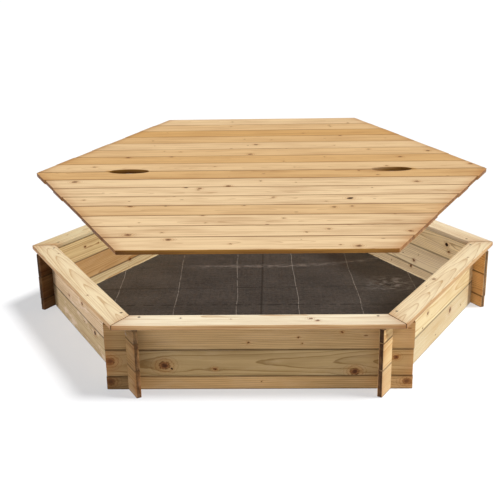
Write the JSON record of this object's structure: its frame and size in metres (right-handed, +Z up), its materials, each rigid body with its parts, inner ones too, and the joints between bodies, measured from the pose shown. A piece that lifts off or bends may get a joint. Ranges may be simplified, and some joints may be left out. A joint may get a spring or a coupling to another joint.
{
  "type": "sandbox with cover",
  "caption": "Hexagonal wooden sandbox of notched planks with mitred seat boards, a ground liner and a split plank cover, shown raised above it.",
  "frame": {"origin": "on the ground under the middle of the hexagonal box", "axes": "+X to the right along the front wall, through two corners of the hexagon; +Y to the back; +Z up"},
  "size_m": [1.7694, 1.5402, 0.5949],
  "materials": {
    "wall_pine": "planed pressure-treated pine, slightly green, matt",
    "seat_pine": "planed pale pine, matt",
    "cover_pine": "planed honey-coloured pine, matt",
    "batten_pine": "sawn pine, matt",
    "screw_steel": "zinc plated, satin",
    "liner_fabric": "woven plastic ground cloth with thin pale marker threads, dull"
  },
  "bodies": {
    "sandbox": {"wall_front_plank_1": "wall_pine", "wall_front_plank_2": "wall_pine", "wall_front_plank_3": "wall_pine", "wall_right_front_plank_1": "wall_pine", "wall_right_front_plank_2": "wall_pine", "wall_right_front_plank_3": "wall_pine", "wall_right_back_plank_1": "wall_pine", "wall_right_back_plank_2": "wall_pine", "wall_right_back_plank_3": "wall_pine", "wall_back_plank_1": "wall_pine", "wall_back_plank_2": "wall_pine", "wall_back_plank_3": "wall_pine", "wall_left_back_plank_1": "wall_pine", "wall_left_back_plank_2": "wall_pine", "wall_left_back_plank_3": "wall_pine", "wall_left_front_plank_1": "wall_pine", "wall_left_front_plank_2": "wall_pine", "wall_left_front_plank_3": "wall_pine", "seat_front": "seat_pine", "seat_right_front": "seat_pine", "seat_right_back": "seat_pine", "seat_back": "seat_pine", "seat_left_back": "seat_pine", "seat_left_front": "seat_pine", "seat_screw_front_left": "screw_steel", "seat_screw_front_right": "screw_steel", "seat_screw_right_front_left": "screw_steel", "seat_screw_right_front_right": "screw_steel", "seat_screw_right_back_left": "screw_steel", "seat_screw_right_back_right": "screw_steel", "seat_screw_back_left": "screw_steel", "seat_screw_back_right": "screw_steel", "seat_screw_left_back_left": "screw_steel", "seat_screw_left_back_right": "screw_steel", "seat_screw_left_front_left": "screw_steel", "seat_screw_left_front_right": "screw_steel", "ground_liner": "liner_fabric"},
    "cover_front": {"cover_front_plank_1": "cover_pine", "cover_front_plank_2": "cover_pine", "cover_front_plank_3": "cover_pine", "cover_front_plank_4": "cover_pine", "cover_front_plank_5": "cover_pine", "cover_front_plank_6": "cover_pine", "cover_front_plank_7": "cover_pine", "cover_front_plank_8": "cover_pine", "cover_front_batten_left": "batten_pine", "cover_front_batten_centre": "batten_pine", "cover_front_batten_right": "batten_pine"},
    "cover_back": {"cover_back_plank_1": "cover_pine", "cover_back_plank_2": "cover_pine", "cover_back_plank_3": "cover_pine", "cover_back_plank_4": "cover_pine", "cover_back_plank_5": "cover_pine", "cover_back_plank_6": "cover_pine", "cover_back_plank_7": "cover_pine", "cover_back_plank_8": "cover_pine", "cover_back_batten_left": "batten_pine", "cover_back_batten_centre": "batten_pine", "cover_back_batten_right": "batten_pine"}
  },
  "joints": [
    {"name": "cover_front_lift", "type": "hinge", "parent": "sandbox", "child": "cover_front", "pos_m": [0, -3.11033, 0.3959], "axis": [1, 0, 0], "range_deg": [-5, 3]},
    {"name": "cover_back_lift", "type": "hinge", "parent": "sandbox", "child": "cover_back", "pos_m": [0, -3.11033, 0.3959], "axis": [1, 0, 0], "range_deg": [-5, 3]}
  ]
}
